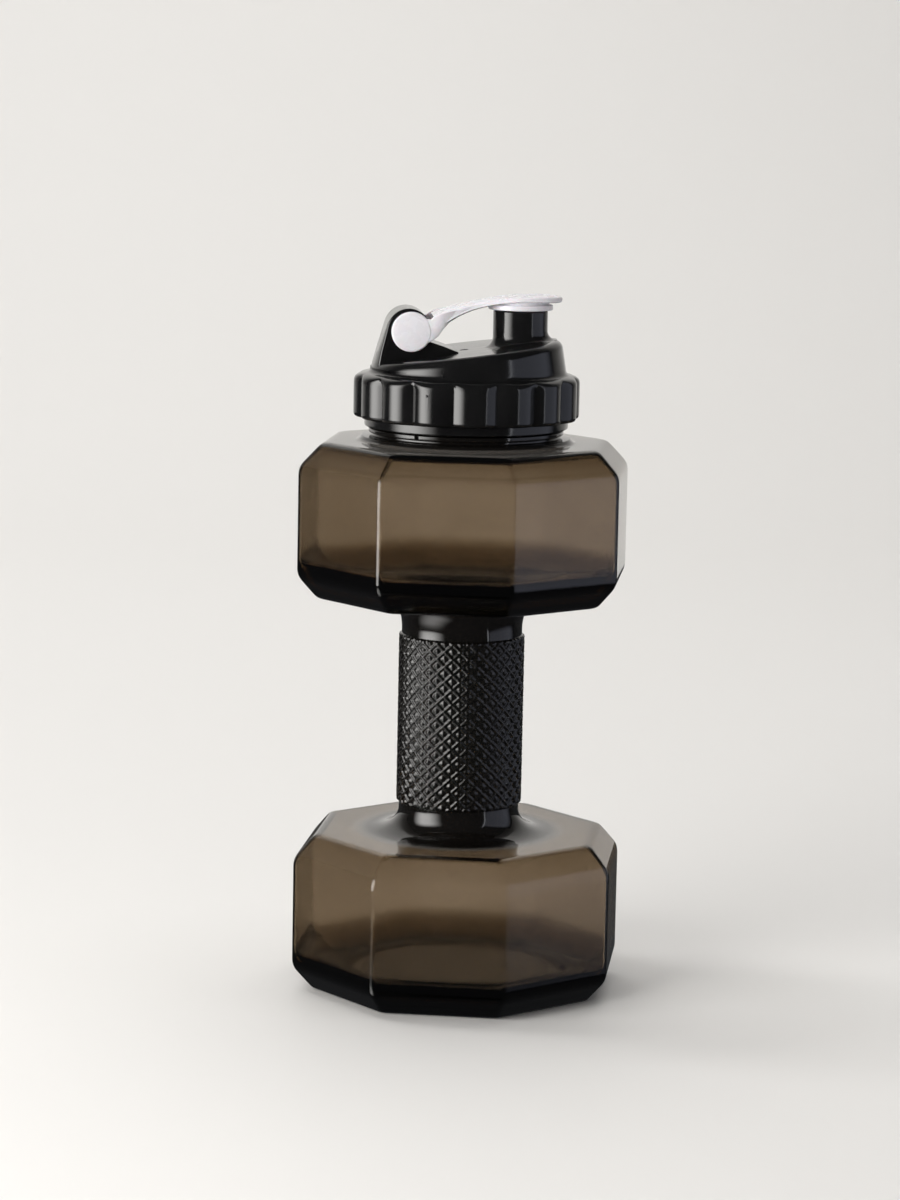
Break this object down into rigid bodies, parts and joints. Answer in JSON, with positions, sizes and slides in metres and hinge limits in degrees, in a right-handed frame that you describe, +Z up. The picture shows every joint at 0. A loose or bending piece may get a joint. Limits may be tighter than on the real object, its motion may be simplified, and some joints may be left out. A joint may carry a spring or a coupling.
{
  "type": "protein shaker bottle",
  "caption": "Dumbbell-shaped shaker bottle with octagonal chambers, a knurled hollow handle, a screw lid, a chug spout and a flip cap.",
  "frame": {"origin": "centre of the base's standing face, on the bottle's axis", "axes": "+Z up along the bottle; X and Y square to two pairs of the octagon's flats; the lid's spout lies 10.7 degrees from +X towards +Y and its hinge opposite"},
  "size_m": [0.1358, 0.1358, 0.3],
  "materials": {
    "smoked_body": "smoky brown-grey translucent glossy plastic",
    "black_lid": "glossy black moulded plastic",
    "white_cap": "white satin moulded plastic",
    "seal_silicone": "matte translucent white silicone",
    "valve_silicone": "matte black silicone",
    "grid_plastic": "satin black moulded plastic",
    "pin_steel": "ground stainless steel"
  },
  "bodies": {
    "bottle": {"bottle_body": "smoked_body"},
    "lid_gasket": {"lid_gasket": "seal_silicone"},
    "lid": {"screw_lid": "black_lid", "hinge_pin": "pin_steel", "vent_valve": "valve_silicone", "mixing_grid": "grid_plastic"},
    "flip_cap": {"flip_cap": "white_cap", "spout_seal": "seal_silicone"}
  },
  "joints": [
    {"name": "lid_rise", "type": "slide", "parent": "bottle", "child": "lid_gasket", "axis": [0, 0, 1], "range_m": [0, 0.0201]},
    {"name": "lid_turn", "type": "hinge", "parent": "lid_gasket", "child": "lid", "pos_m": [0, 0, 0.2545], "axis": [0, 0, 1], "range_deg": [0, 720]},
    {"name": "flip_open", "type": "hinge", "parent": "lid", "child": "flip_cap", "pos_m": [-0.02457, -0.00464, 0.2845], "axis": [0.1857, -0.9826, 0], "range_deg": [0, 125]}
  ],
  "couplings": [
    {"joint": "lid_rise", "follows": "lid_turn", "m_per_rad": 0.0015915}
  ]
}
